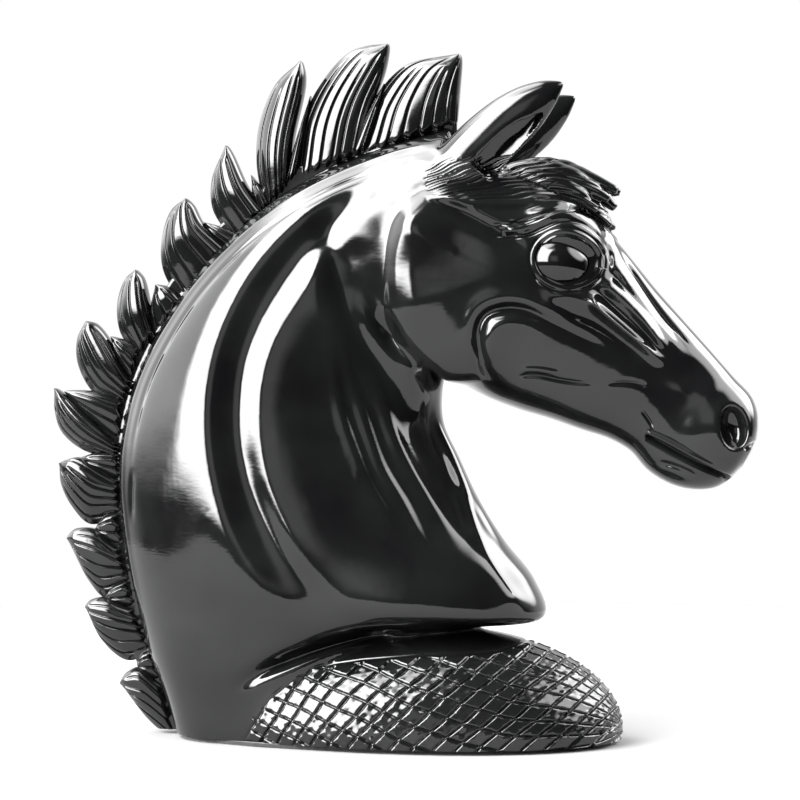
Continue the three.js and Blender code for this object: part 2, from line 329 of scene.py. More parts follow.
# Broad folds of the neck and face: points x, z along each, height, the slope widths on its left and
# right, looking along it, and the shares of its length over which its start and its end fade.
FOLDS_FADE = (1.5, 7)  # distances from the middle plane between which they grow to their full height
FOLDS = [
    # the long hollow behind the shoulder muscle: its far wall is long, its near wall short
    ([(4, 164), (-5, 157), (-14, 148.5), (-22.5, 138.5), (-30.5, 127), (-36.5, 117), (-40, 107)]
     + [(-41, 96), (-40.6, 85), (-38, 74), (-34, 65), (-28.5, 54.5), (-22.5, 46), (-15, 39.5), (-8, 35)],
     -1.0, 3.8, 6, 0.1, 0.12),
    ([(8, 160), (0, 152.5), (-9, 144), (-17.5, 134), (-25.5, 122.5), (-31, 112), (-34, 101), (-34.6, 91)]
     + [(-33.4, 80), (-30, 69.5), (-25, 60), (-18.5, 50.5), (-10, 43)], 1.3, 12, 4.4, 0.1, 0.2),
    ([(-6, 160), (-18, 153.5), (-29, 145), (-38.5, 134), (-45, 121.5), (-49, 109), (-50.6, 96)]
     + [(-50, 84), (-47.6, 72), (-43.6, 60), (-38, 49), (-31, 40), (-22, 33)], 2.6, 5.6, 12, 0.15, 0.3),
    ([(16, 152), (8, 144), (6, 134), (8, 122), (14, 112)], 1.6, 12, 9, 0.3, 0.3),
    # the fan of folds over the throat
    ([(-8, 122), (-10, 102), (-4, 84), (7, 66), (20, 48)], -3.2, 13, 15, 0.35, 0.3),
    ([(-14.5, 124), (-14.9, 107), (-12.4, 93), (-9.3, 84), (-4.8, 73.5), (5.6, 58), (19, 45)],
     0.9, 1.2, 2.6, 0.4, 0.5),
    ([(-12.5, 118), (-11.2, 105.5), (-6.6, 92), (-1.5, 78), (3.8, 69), (12.2, 55), (26.4, 41.5)],
     0.9, 1.2, 2.6, 0.4, 0.5),
    ([(-7, 110), (-2.5, 98.5), (3.4, 83), (9.6, 72), (20, 59), (33, 44)], 0.9, 1.2, 3, 0.4, 0.5),
    ([(-11, 129), (-8.9, 124), (-5, 116), (0.5, 109), (6, 103), (11, 96)], 1.6, 2.6, 3.4, 0.5, 0.25),
    ([(-3, 122), (1.5, 114), (8, 107), (15, 100)], -2, 2.6, 2.6, 0.3, 0.2),
    ([(3, 100), (9, 86), (15, 73), (22, 60), (32, 46)], -1.7, 4.5, 3.4, 0.3, 0.4),
    ([(17, 84), (20, 73), (22.5, 64), (26, 56), (31, 47.5), (38, 38)], 1.2, 1.3, 4.4, 0.3, 0.1),
    # the slope that faces back, behind the cheek
    ([(-17, 152), (-15, 137), (-10.5, 122), (-2.5, 109), (8.5, 98)], -2.8, 9.5, 4, 0.3, 0.4),
    ([(17, 167), (12.6, 158), (9.4, 147), (8.4, 132)], 1.7, 10, 8, 0.25, 0.5),
    # the hook behind the jaw, and the jaw inside it
    ([(29, 101), (27.2, 104.5), (26, 110), (25.6, 115), (27.6, 119.6), (32, 121.6), (38, 121.4)]
     + [(46, 117.6), (56, 112.6), (68, 107)], -1.8, 1.3, 1.5, 0.15, 0.4),
    ([(24.6, 104), (23.4, 112), (23.6, 118.6), (26.6, 123), (32.6, 125), (39, 124.4), (47, 120.6)]
     + [(57, 115.4), (66, 111.6)], 0.5, 1.6, 1.6, 0.3, 0.3),
    ([(29.4, 106), (28.6, 111), (29.6, 115.4), (33, 117.8), (39, 117.6), (47, 114)], 1, 1.4, 3, 0.2, 0.4),
    # temple, and the cheekbone below the eye
    ([(12, 155.6), (19, 152), (27.6, 147.8), (35.1, 144), (39.5, 141)], 0.9, 2.2, 1.2, 0.3, 0.3),
    ([(14, 151.5), (21, 148.5), (28.4, 144.6), (35.8, 140.4), (39, 136)], -0.9, 1.4, 2.6, 0.3, 0.3),
    ([(42.3, 124.6), (51.7, 125), (60.2, 121.6), (70, 113.6), (77, 106)], 1.3, 1.8, 2.2, 0.2, 0.3),
    ([(47, 120.8), (56, 118.6), (64, 113.4), (73, 106)], -1.1, 1.6, 1.6, 0.3, 0.3),
    ([(54.5, 126.5), (61, 119.6), (70, 112), (78.5, 105)], 1.5, 1.4, 1.6, 0.2, 0.3),
    ([(58.6, 130.4), (66.2, 123.6), (73.9, 114.6), (77.4, 109.6)], 1.6, 1.3, 1.6, 0.15, 0.3),
    ([(56.6, 128), (63, 121.6), (71.6, 113.6), (76, 108)], -1.1, 1, 1, 0.2, 0.2),
    ([(60.8, 138), (65.5, 129.4), (72.3, 119), (80, 109.4)], 1.2, 1.3, 1.6, 0.2, 0.3),
    ([(60.4, 133.6), (66.6, 126.4), (73.6, 117.4), (79.4, 108.4)], -1.1, 1, 1, 0.2, 0.3),
    ([(64.5, 135), (70, 126.4), (77, 117), (83.4, 109)], -0.9, 0.9, 0.9, 0.2, 0.3),
    ([(79, 108), (84, 103), (89, 98)], -0.5, 3.4, 3.4, 0.4, 0.4),
    # muzzle, lips and chin
    ([(76, 98), (84, 100), (91.5, 97.6)], 0.5, 3, 3.4, 0.35, 0.3),
    # the step along the low edge of the hair
    ([(8, 154.5), (14, 152.4), (22.6, 150.8), (33.7, 150.4), (42.1, 151.2), (49, 150.4)],
     0.8, 8, 0.7, 0.3, 0.3),
]


def back_edge(inset=0, first=0):
    """Points x, z up the neck's back edge, moved in from it by inset."""
    line = np.array([(x, z) for x, z, *_ in NECK[first:]], float)
    way = unit(np.gradient(line, axis=0))
    return line + inset * np.column_stack([way[:, 1], -way[:, 0]])


def eye_ring(radii):
    """Points x, z on an oval round the eye."""
    angle = np.linspace(0, 2 * math.pi, 17)
    c, s = cos_sin(EYE_TURN)
    x, z = radii[0] * np.cos(angle), radii[1] * np.sin(angle)
    return [(EYE_AT[0] + a * c + b * s, EYE_AT[1] + b * c - a * s) for a, b in zip(x, z)]


# Engraved creases: points x, z, height, slope width, and how much of each end fades out.
CREASES = [
    # the neck's edge along the mane: a thin roll, and a shallow groove inside it
    (back_edge(3.5, 3), 0.4, 0.9, 0.1),
    (back_edge(7, 7), -0.35, 0.9, 0.25),
    ([(-74.4, 78), (-75, 70), (-74.8, 60)], -0.5, 1, 0.4),
    # rings round the eye, then the lids and the folds over and under them
    (eye_ring((8.4, 7.1)), -0.2, 0.35, 0),
    (eye_ring((9.2, 7.9)), 0.08, 0.45, 0),
    (eye_ring((10.1, 8.7)), -0.2, 0.4, 0),
    ([(30, 141.4), (34, 141.6), (38.4, 141.8), (43, 143.6), (48.5, 145.8), (54, 145.4), (59, 141.6)]
     + [(61.4, 136), (60.6, 130.6)], -0.8, 0.55, 0.15),
    ([(30, 143), (36, 143.4), (42, 145.4), (48.5, 147.6), (55, 147), (60.4, 142.8), (62.4, 138)],
     0.6, 0.7, 0.15),
    ([(28, 144.6), (35, 145.2), (41.4, 147.2), (48, 149.4), (55, 148.8), (60, 145.2)], -0.6, 0.5, 0.2),
    ([(42.6, 152), (49, 151), (55, 149.6), (60, 146), (62.6, 141.6)], 0.7, 0.8, 0.2),
    ([(40.5, 131), (44, 128), (49.6, 126.6), (55.6, 127.6), (59.4, 130.4)], -0.5, 0.5, 0.2),
    # wrinkles of the jaw
    ([(34.5, 102.8), (41, 103.2), (48.2, 101.9), (59, 100.8)], -0.7, 0.6, 0.3),
    ([(35.5, 105), (42, 105), (50, 103.4)], 0.35, 0.8, 0.3),
    ([(60, 101), (66, 101.4), (72, 100.4)], -0.6, 0.6, 0.3),
    # the mouth and the lips
    ([(70.2, 86.6), (75, 84.2), (80.4, 81.3), (87, 77.8), (92.9, 74.8), (98, 72)], -2.4, 0.7, 0.06),
    ([(69.6, 88.4), (75, 86), (80.4, 83.1), (87, 79.6), (94, 76.4)], 0.5, 0.8, 0.15),
    ([(69.4, 94.4), (71.4, 91.6), (73.2, 88.6)], -0.5, 0.5, 0.3),
    ([(97.6, 82.6), (99.6, 84), (101.6, 84.6)], -0.8, 0.6, 0.2),
    ([(73, 79.6), (79.6, 77.8), (86, 74.8)], -0.6, 0.9, 0.3),
    # the bridge of the nose
    ([(62, 141), (68.5, 130.4), (76, 119.6), (84, 110.4)], -0.7, 0.5, 0.25),
    ([(57, 124.4), (64, 118), (72.4, 111)], -0.7, 0.5, 0.25),
]

EAR_ROOT, EAR_BEND, EAR_TIP = (8, -11, 150), (34, -17.5, 176), (48.8, -16, 184.2)
EAR_WIDE = [7.2, 8, 8.3, 8.2, 7.6, 6.2, 3.9, 0.4]
EAR_THICK = [6.4, 6.3, 6, 5.4, 4.8, 4, 2.8, 0.4]
EAR_HOLLOW = (0.62, 0.3, 0.84, 4.8)  # share of the ear's section, start, end, and how far it is shifted
EAR_FACING = (0.92, -0.38)  # which way it opens, along the ear's width and thickness
EAR_CLOSING = (0.75, 0.5, 0.84)  # how much it narrows, and between which shares of the length


def bezier(a, b, c, count):
    t = np.linspace(0, 1, count)[:, None]
    a, b, c = (np.array(p, float) for p in (a, b, c))
    return (1 - t) ** 2 * a + 2 * t * (1 - t) * b + t**2 * c


def ear(share=1.0, start=0.0, end=1.0, shift=0.0):
    """The right ear, or with a share under 1 the hollow that is cut from its front."""
    count, fine = 60, 200
    full = bezier(EAR_ROOT, EAR_BEND, EAR_TIP, fine)
    t = np.linspace(start, end, count)
    line = np.stack([np.interp(t, np.linspace(0, 1, fine), full[:, k]) for k in range(3)], -1)
    along = unit(np.gradient(line, axis=0))
    wide = unit(np.cross((0, 1, 0), along))
    thick = np.cross(along, wide)
    a = np.interp(t, np.linspace(0, 1, count), values(EAR_WIDE, count))
    b = np.interp(t, np.linspace(0, 1, count), values(EAR_THICK, count))
    opening = EAR_FACING[0] * wide + EAR_FACING[1] * thick
    centre = line + opening * (shift * a / EAR_WIDE[1])[:, None]
    angle = round_trip(48)[None, :, None]
    narrowing, first, last = EAR_CLOSING
    closing = share * (1 - narrowing * ease(t, first, last)) if share < 1 else np.ones(count)
    a, b = (a * closing)[:, None, None], (b * closing)[:, None, None]
    rings = centre[:, None] + a * np.cos(angle) * wide[:, None] + b * np.sin(angle) * thick[:, None]
    return closed(rings)


# Forelock: each lock's points x, y, z from between the ears to its curled end, and its radii.
LOCKS = [
    ([(22, -8, 155), (32, -9, 158), (41, -9.6, 158), (50, -9.8, 155), (57.5, -9.6, 149.5)],
     [1.6, 2.6, 3, 2.6, 1]),
    ([(22, -6, 155), (34, -7, 160), (45, -7.4, 160), (53.5, -7.6, 156.5), (60.5, -7, 152.4)],
     [2.4, 3.2, 3.4, 2.8, 1.1]),
    ([(22, -2.4, 156), (35, -3, 161), (46, -3.2, 161.2), (55.5, -3.6, 157.6), (62.6, -4, 155)],
     [2.6, 3.4, 3.4, 2.6, 1.2]),
    ([(24, 0, 155), (36, 0, 160.6), (47, 0, 160.4), (56, 0, 155.4), (61.6, 0, 150.4)],
     [2.6, 3.2, 3.4, 2.8, 1.2]),
    ([(40, -5, 157), (49, -5.4, 155.6), (55.6, -5.6, 151), (60, -5.4, 144.6)], [2.2, 3, 2.6, 1]),
]


def egg():
    """The whole ellipsoid whose top is the mound."""
    m = MOUND
    points, quads, triangles = ellipsoid((m["centre"], (1, m["half"], m["height"]), 0), 1, 90, 120)
    x = points[:, 0] - m["centre"][0]
    points[:, 0] = m["centre"][0] + x * np.where(x < 0, m["back"], m["front"])
    return points, quads, triangles


# The thin crest along the neck's back edge, that the mane's locks stand on.
CREST_HALF = 1.5
CREST_RISE = 6  # how far it stands out from the neck
CREST_DEPTH = 16  # how far it goes into the neck
CREST_FRONT = 16.5  # x where it ends, between the ears

# The groove that carries the gap between chest and mound on around the flank.
UNDERCUT = ([(-44, 14.6), (-36, 20), (-26.8, 24.2), (-16, 28), (-4, 31), (10, 33)], -4, 2.4, 1.5, 0.4, 0.3)
UNDERCUT_FADE = (6, 12)  # distances from the middle plane between which it grows to its full depth


def body_field():
    neck = field(edge_loft(NECK, NECK_POWER))
    head = field(edge_loft(HEAD, HEAD_POWER))
    head = merge(head, field(ellipsoid(CHIN, 0)), CHIN_FILLET)
    head = merge(head, field(ellipsoid(NOSTRIL_FLARE)), FLARE_FILLET)
    head = merge(head, field(ellipsoid(BROW)), BROW_FILLET)
    head = merge(head, field(ellipsoid(CHEEK, power=CHEEK_POWER)), CHEEK_FILLET)
    body = merge(neck, head, HEAD_FILLET)
    x = (np.arange(shape[0]) + origin[0]) * CELL
    y = (np.arange(shape[1]) + origin[1]) * CELL
    z = (np.arange(shape[2]) + origin[2]) * CELL
    xx, zz = np.meshgrid(x, z, indexing="ij")
    relief = np.zeros(xx.shape)
    for fold in FOLDS:
        relief += stroke(xx, zz, *fold)
    flank = ease(np.abs(y), *FOLDS_FADE)
    body = body - (relief[:, None, :] * flank[None, :, None]).astype(np.float32)
    distance, side, _ = follow(back_edge(), xx.ravel(), zz.ravel())
    outside = np.where(side > 0, distance, -distance).reshape(xx.shape)
    band = np.maximum(outside - CREST_RISE, -CREST_DEPTH - outside)
    band = np.maximum(band, xx - CREST_FRONT)
    crest = np.maximum(band[:, None, :], (np.abs(y) - CREST_HALF)[None, :, None])
    body = merge(body, crest.astype(np.float32), CREST_FILLET)
    # the mound flows into the neck at the back, and keeps clear of it in front
    wide, narrow = MOUND_FILLET
    soft = narrow + (wide - narrow) * (1 - ease(x, *MOUND_FILLET_ENDS))
    body = merge(body, field(egg()), soft[:, None, None])
    undercut = stroke(xx, zz, *UNDERCUT)
    flank = ease(np.abs(y), *UNDERCUT_FADE)
    body = body - (undercut[:, None, :] * flank[None, :, None]).astype(np.float32)
    body = merge(body, cut(field(ear()), field(ear(*EAR_HOLLOW)), EAR_RIM), EAR_FILLET)
    for points, radii in LOCKS:
        body = merge(body, field(tube(points, radii)), LOCK_FILLET)
    body = cut(body, field(ellipsoid(NOSTRIL)), NOSTRIL_RIM)
    return body.astype(np.float32)


# ---- surfacing


def weights(t):
    """Cubic B-spline weights and their slopes at the share t of a cell, four of each."""
    value = [(1 - t) ** 3 / 6, (3 * t**3 - 6 * t**2 + 4) / 6]
    value += [(-3 * t**3 + 3 * t**2 + 3 * t + 1) / 6, t**3 / 6]
    slope = [-((1 - t) ** 2) / 2, (3 * t**2 - 4 * t) / 2]
    slope += [(-3 * t**2 + 2 * t + 1) / 2, t**2 / 2]
    return value, slope


def sample(array, points):
    """The smoothed field and its slope at points, which may lie on either side of y = 0."""
    p = points.copy()
    p[:, 1] = -np.abs(p[:, 1])
    place = p / CELL - origin
    base = np.floor(place).astype(int)
    base = np.clip(base, 1, np.array(shape) - 3)
    t = place - base
    v, s = zip(*(weights(t[:, k]) for k in range(3)))
    flat = array.reshape(-1)
    value = np.zeros(len(p))
    slope = np.zeros((len(p), 3))
    for i in range(4):
        for j in range(4):
            row = ((base[:, 0] + i - 1) * shape[1] + base[:, 1] + j - 1) * shape[2] + base[:, 2] - 1
            vij = v[0][i] * v[1][j]
            sij = s[0][i] * v[1][j]
            vsj = v[0][i] * s[1][j]
            for k in range(4):
                f = flat[row + k]
                value += vij * v[2][k] * f
                slope[:, 0] += sij * v[2][k] * f
                slope[:, 1] += vsj * v[2][k] * f
                slope[:, 2] += vij * s[2][k] * f
    slope /= CELL
    slope[:, 1] *= np.where(points[:, 1] > 0, -1, 1)
    return value, slope


def settle(array, points, rounds):
    """Moves points onto the smoothed surface, and returns its unit normals as well."""
    for _ in range(rounds):
        value, slope = sample(array, points)
        size = np.maximum((slope**2).sum(1), 0.05)
        step = (value / size)[:, None] * slope
        points = points - np.clip(step, -CELL, CELL)
    slope /= np.maximum(np.linalg.norm(slope, axis=1, keepdims=True), 1e-6)
    return points, slope


def skin(array):
    """Even quads over the whole body, from the half that the array holds."""
    full = np.concatenate([array[:, : middle_row + 1], array[:, :middle_row][:, ::-1]], 1)
    grid = vdb.FloatGrid(BAND * CELL)
    grid.copyFromArray(np.ascontiguousarray(full), ijk=tuple(int(v) for v in origin))
    grid.transform = transform
    grid.gridClass = vdb.GridClass.LEVEL_SET
    points, quads = grid.convertToQuads(isovalue=0.0)
    return points.astype(float), quads.astype(int)


def relax(points, quads):
    """Moves each point half of the way to the middle of its neighbours."""
    ends = np.vstack([quads[:, [0, 1]], quads[:, [1, 2]], quads[:, [2, 3]], quads[:, [3, 0]]])
    both = np.vstack([ends, ends[:, ::-1]])
    count = np.bincount(both[:, 0], minlength=len(points))
    total = [np.bincount(both[:, 0], points[both[:, 1], k], len(points)) for k in range(3)]
    mean = np.stack(total, -1) / np.maximum(count, 1)[:, None]
    return points + 0.5 * (mean - points)


def mesh_of(name, points, faces):
    mesh = bpy.data.meshes.new(name)
    mesh.from_pydata((np.asarray(points) * MM).tolist(), [], [list(map(int, f)) for f in faces])
    mesh.update()
    return mesh


def coordinates(mesh):
    flat = np.empty(len(mesh.vertices) * 3)
    mesh.vertices.foreach_get("co", flat)
    return flat.reshape(-1, 3) / MM


def shown(name, data):
    """A new object in the scene."""
    o = bpy.data.objects.new(name, data)
    bpy.context.scene.collection.objects.link(o)
    return o


def move(mesh, points):
    mesh.vertices.foreach_set("co", (points * MM).ravel())
    mesh.update()


def engraved(points):
    """The fine carving: how far each point is raised, or with a minus cut."""
    x, z, y = points[:, 0], points[:, 2], np.abs(points[:, 1])
    depth = np.zeros(len(points))
    for line, height, width, fade in CREASES:
        depth += stroke(x, z, line, height, width, width, fade, fade)
    return (depth + hair(x, y, z)) * ease(y, 1, 4) + scales(x, y, z)


HAIR_FROM = (-12, 149)  # x, z that the strands of the forelock spread from
HAIR_STEP = 0.027  # radians between them
HAIR_DEPTH = 0.38
HAIR_BACK, HAIR_FRONT = (9, 14), (60, 65)  # x between which it begins, and between which it ends
HAIR_LOW_EDGE = ([8, 14, 22.6, 33.7, 42.1, 49, 53, 66], [155, 152.8, 151.2, 150.8, 151.6, 150.8, 146, 140])
HAIR_TOP = (161, 165)  # z between which it fades out at x = 20. The top edge rises by a tenth of x
HAIR_FALL = (42, 0.022)  # x from which the strands curve down, and how fast


def hair(x, y, z):
    """Fine strands on the forelock and at the roots of the ears."""
    on = ease(x, *HAIR_BACK) * (1 - ease(x, *HAIR_FRONT)) * ease(z - np.interp(x, *HAIR_LOW_EDGE), 0, 0.8)
    on *= 1 - ease(z, HAIR_TOP[0] + 0.1 * (x - 20), HAIR_TOP[1] + 0.1 * (x - 20))
    fall = np.maximum(x - HAIR_FALL[0], 0) ** 2 * HAIR_FALL[1]
    angle = np.arctan2(z + fall - HAIR_FROM[1], x - HAIR_FROM[0]) + 0.006 * np.sin(x * 0.35 + z)
    turns = angle * 2 * math.pi / HAIR_STEP
    wave = 0.5 + 0.3 * np.cos(turns + 0.4 * y) + 0.2 * np.cos(turns * 0.37 + 1.3 + 0.2 * y)
    return on * -HAIR_DEPTH * wave**2


# The mound: an ellipsoid with a longer back than front, as in the CAD.
MOUND = {"centre": (10, 0, 4.5), "back": 64, "front": 53.5, "half": 33.5, "height": 28}
SCALE_PITCH = (5.0, 5.9)  # of the leaning cuts and of the cuts that run along the mound
SCALE_DEPTH = 0.8
SCALE_PILLOW = 0.18  # how far a scale's middle stands out
SCALE_TILT = 0.1
CUT_HALF = 0.4
LEAN = ([-35, 10, 50], [0.58, 0.84, 1.0])  # x, and how far the leaning cuts lean there
LEAN_SPREAD = (-15, 0.84)  # x from which they are further apart, and their density there
GIRTH = 31  # how much length of arc a radian counts for, across the cuts that run along
SHIFT = ([-60, -20, 10, 34, 64], [-36, -13, 2.5, 10.5, 12])  # x, and how far those cuts drop there
SCALES_TOP = ([-60, -25, -7, 9, 30, 38, 44], [14, 21.2, 24.2, 25.8, 26.6, 29, 60])  # x, and z of the edge
SCALES_BACK = (-45.4, 2, 1.17)  # x and z of a point on the back edge, and how x grows with z
RIM_DEPTH = 0.35
RIM_END = (36, 42)  # x between which the rim's cut ends
ON_MOUND = (0.4, 1.2)  # distances from the mound's ellipsoid between which the scales fade


def scales(x, y, z):
    """The crossed cuts that cover the mound with scales."""
    m = MOUND
    reach = np.where(x < m["centre"][0], m["back"], m["front"])
    across, along, up = y / m["half"], (x - m["centre"][0]) / reach, (z - m["centre"][2]) / m["height"]
    off = np.abs(np.sqrt(across**2 + along**2 + up**2) - 1) * m["height"]
    turn = np.arctan2(up, np.abs(across) + 1e-9)
    start, density = LEAN_SPREAD
    spread = np.where(x < start, x, start + (x - start) * density)
    first = (spread - np.interp(x, *LEAN) * (z - BASE_Z)) / SCALE_PITCH[0] + 0.05 * np.sin(z * 0.5)
    second = (turn * GIRTH + np.interp(x, *SHIFT)) / SCALE_PITCH[1] + 0.04 * np.sin(x * 0.35)
    depth = np.zeros(x.shape)
    pillow = np.ones(x.shape)
    for phase, pitch in ((first, SCALE_PITCH[0]), (second, SCALE_PITCH[1])):
        share = phase - np.round(phase)
        depth = np.maximum(depth, np.exp(-((share * pitch / CUT_HALF) ** 2)))
        pillow = pillow * np.cos(share * math.pi)
    cell = np.sin(np.round(first - 0.5) * 12.9 + np.round(second - 0.5) * 78.2)
    below = np.interp(x, *SCALES_TOP) - z
    ahead = x - SCALES_BACK[0] - (z - SCALES_BACK[1]) * SCALES_BACK[2]
    on_mound = 1 - ease(off, *ON_MOUND)
    on = ease(below, 0, 0.4) * ease(ahead, 0, 0.4) * on_mound
    rim = np.exp(-(((below + 0.3) / 0.45) ** 2)) + np.exp(-(((ahead + 0.2) / 0.5) ** 2))
    rim *= on_mound * ease(below, -1.5, -0.5) * ease(ahead, -1.5, -0.5)
    rim *= 1 - ease(x, *RIM_END)
    tilt = SCALE_TILT * cell * np.sin((first - np.round(first - 0.5) - 0.5) * 2) * pillow
    return on * (SCALE_PILLOW * pillow - SCALE_DEPTH * depth + tilt) - RIM_DEPTH * np.minimum(rim, 1)


def refine(mesh, wanted):
    """Splits every edge that has a wanted end."""
    bm = bmesh.new()
    bm.from_mesh(mesh)
    bm.verts.ensure_lookup_table()
    bm.edges.ensure_lookup_table()
    ends = np.empty(len(mesh.edges) * 2, int)
    mesh.edges.foreach_get("vertices", ends)
    chosen = np.flatnonzero(wanted[ends].reshape(-1, 2).any(1))
    edges = [bm.edges[i] for i in chosen]
    bmesh.ops.subdivide_edges(bm, edges=edges, cuts=1, use_grid_fill=True)
    bm.to_mesh(mesh)
    bm.free()


CARVED_AT_LEAST = (0.02, 0.06)  # depths from which the mesh is split once, and once more


def carve_body(array):
    """The body's skin, made finer where it is engraved, and engraved."""
    points, quads = skin(array)
    for _ in range(3):
        points = relax(points, quads)
        points, _ = settle(array, points, 1)
    mesh = solid("body", (points, quads, np.empty((0, 3), int)))
    for least in CARVED_AT_LEAST:
        refine(mesh, np.abs(engraved(points)) > least)
        points, normals = settle(array, coordinates(mesh), 2)
    move(mesh, points + normals * engraved(points)[:, None])
    return mesh


# ---- mane

# Each lock's points x, z along its back edge from root to tip, along its front edge, and its cuts.
MANE = [
    ([(-14, 168), (-9, 180), (1.5, 191.5), (17, 195)], [(17, 177), (17, 186)], 7),
    ([(-31, 162), (-29, 175), (-23, 187), (-14, 196), (-3.5, 198.5)],
     [(-11, 169), (-8, 181), (-5, 190)], 6),
    ([(-40, 153), (-42, 165), (-41, 176), (-36, 187.5), (-29, 194)],
     [(-32.5, 160.5), (-31, 172), (-28, 188)], 4),
    ([(-50, 143.5), (-55, 152), (-55, 161), (-51, 170)], [(-40.5, 152.5), (-45, 159), (-49, 167)], 3),
    ([(-65.5, 125.5), (-70, 135), (-70, 144), (-67, 152), (-63, 155)],
     [(-51, 142), (-58, 148), (-61, 153)], 4),
    ([(-79, 110), (-83, 117), (-83.5, 125), (-81, 132), (-78, 134.5)],
     [(-72.5, 118), (-74, 125), (-76, 132)], 3),
    ([(-83.5, 95.5), (-91, 99), (-95.5, 107.5), (-95.5, 115), (-93, 119.5)],
     [(-80, 103.5), (-84, 111), (-90, 118.5)], 4),
    ([(-84.5, 79.5), (-94, 82), (-100.5, 87.5), (-102.5, 94), (-102.5, 100)],
     [(-84.5, 85), (-91.5, 91.5), (-97.5, 96.5)], 4),
    ([(-84, 62), (-92, 60.5), (-97.5, 66), (-100.5, 72.5), (-101, 78)],
     [(-84.5, 74), (-90.5, 78), (-95.5, 79.5)], 5),
    ([(-81, 42), (-87, 39), (-92.5, 44.5), (-98.5, 56)], [(-84.5, 54), (-89, 58.5), (-95.5, 58.5)], 5),
    ([(-74.5, 22), (-81, 21), (-88.5, 27), (-93, 36)], [(-80.5, 36.5), (-86, 39), (-91, 38)], 5),
    ([(-67, -2.5), (-75, 4.5), (-82.5, 14)], [(-71.5, 15.5), (-76.5, 19), (-80.5, 17)], 4),
]
# The tip of the small tuft behind each pair of locks.
TUFT_TIPS = [(-4.5, 187), (-26, 184), (-43.5, 161.5), (-57.5, 148), (-72, 130), (-85.5, 115)]
TUFT_TIPS += [(-99.5, 99), (-95, 79.5), (-90, 59), (-87, 39), (-77.5, 19.5)]
TUFT_PAST = 2.3  # how far a tuft goes under the lock on either side
MANE_HALF = [4.6, 5.2, 4.8, 3.8, 1.8]
TUFT_HALF = [3.8, 4, 3.4, 1.4]
MANE_CREST = 0.75  # where a lock is thickest, as a share of the way from its back edge to its front edge
MANE_CUT = (0.6, 0.32)  # depth and slope width of the cuts along a lock
MANE_BLUNT = 0.13  # how blunt its tip is
FINGER = 0.9  # how far the rounded ends of its ribs reach past the root
TUFT_CUTS = 3
ROOT_ROUND = [(1.5, 0.3), (1.3, 0.6), (0.9, 0.85), (0.45, 0.97)]  # distance past the root, share of thickness


def resampled(line, stops):
    steps = np.linspace(0, 1, len(line))
    return np.stack([np.interp(stops, steps, line[:, k]) for k in (0, 1)], -1)


def mane_lock(index, outer, inner, cuts, halves):
    """A leaf between two edges, turned towards its back edge, with cuts along it."""
    rows, around = 64, 200
    t = 0.996 * (1 - (1 - np.linspace(0, 1, rows)) ** 1.5)
    outer_edge = resampled(spline(outer, 200), t)
    inner_edge = resampled(spline([*inner, outer[-1]], 200), t)
    # a blunt tip
    middle = (outer_edge + inner_edge) / 2
    blunt = np.sqrt((1 - t + MANE_BLUNT) / (1 - t) / (1 + MANE_BLUNT))[:, None]
    outer_edge = middle + (outer_edge - middle) * blunt
    inner_edge = middle + (inner_edge - middle) * blunt
    inward = middle[0] - middle[8]
    inward /= np.linalg.norm(inward)
    past = np.array([d for d, _ in ROOT_ROUND] + [0] * rows)
    thin = np.array([v for _, v in ROOT_ROUND] + [1] * rows)[:, None]
    t = np.concatenate([np.zeros(len(ROOT_ROUND)), t])
    outer_edge = np.vstack([np.repeat(outer_edge[:1], len(ROOT_ROUND), 0), outer_edge])
    inner_edge = np.vstack([np.repeat(inner_edge[:1], len(ROOT_ROUND), 0), inner_edge])
    s = (np.arange(around) + 0.5) / around * 2
    side = np.where(s < 1, 1.0, -1.0)
    across = np.where(s < 1, s, 2 - s)[None, :]
    rise = np.minimum(across / MANE_CREST, 1)
    fall = np.clip((across - MANE_CREST) / (1 - MANE_CREST), 0, 1)
    face = (0.15 * np.sqrt(rise) + 0.85 * (1 - (1 - rise) ** 2)) * np.sqrt(1 - fall**2.4)
    half = values(halves, 200)[(t * 199).astype(int)][:, None]
    t = t[:, None]
    width = np.linalg.norm(inner_edge - outer_edge, axis=1)[:, None]
    depth = np.zeros((len(t), around))
    for k in range(cuts):
        place = (k + 0.8) / (cuts + 0.5) + 0.02 * math.sin(index * 2.3 + k * 1.9)
        end = 0.97 - 0.25 * abs(math.sin(index * 1.3 + k * 2.1))
        off = (across - place) * width / MANE_CUT[1]
        depth = depth + MANE_CUT[0] * np.exp(-(off**2)) * (1 - ease(t, end - 0.2, end))
    y = half * face
    y = np.maximum(y - depth * (1 - 0.3 * t), y * 0.3) * thin * side
    # the ribs between the cuts end in rounded fingers
    finger = 0.5 - 0.5 * np.cos(2 * math.pi * (across * (cuts + 0.5) - 0.8))
    back = past[:, None] + FINGER * finger * (1 - ease(t, 0, 0.2))
    rings = np.empty((len(t), around, 3))
    for column, axis in ((0, 0), (1, 2)):
        first, second = outer_edge[:, None, column], inner_edge[:, None, column]
        rings[:, :, axis] = first * (1 - across) + second * across + back * inward[column]
    rings[:, :, 1] = y
    return closed(rings)


def tuft(index):
    """A small lock low in the gap between two locks."""
    behind, ahead = np.array(MANE[index + 1][1][0]), np.array(MANE[index][0][0])
    tip = np.array(TUFT_TIPS[index])
    root = (behind + ahead) / 2
    along = ahead - np.array(MANE[index + 1][0][0])
    along = along / np.linalg.norm(along) * (np.linalg.norm(ahead - behind) / 2 + TUFT_PAST)
    lean = (tip - root) * 0.5
    outer = [root - along, root - along * 0.7 + lean, tip]
    inner = [root + along, root + along * 0.6 + lean]
    return mane_lock(index + 20, outer, inner, TUFT_CUTS, TUFT_HALF)


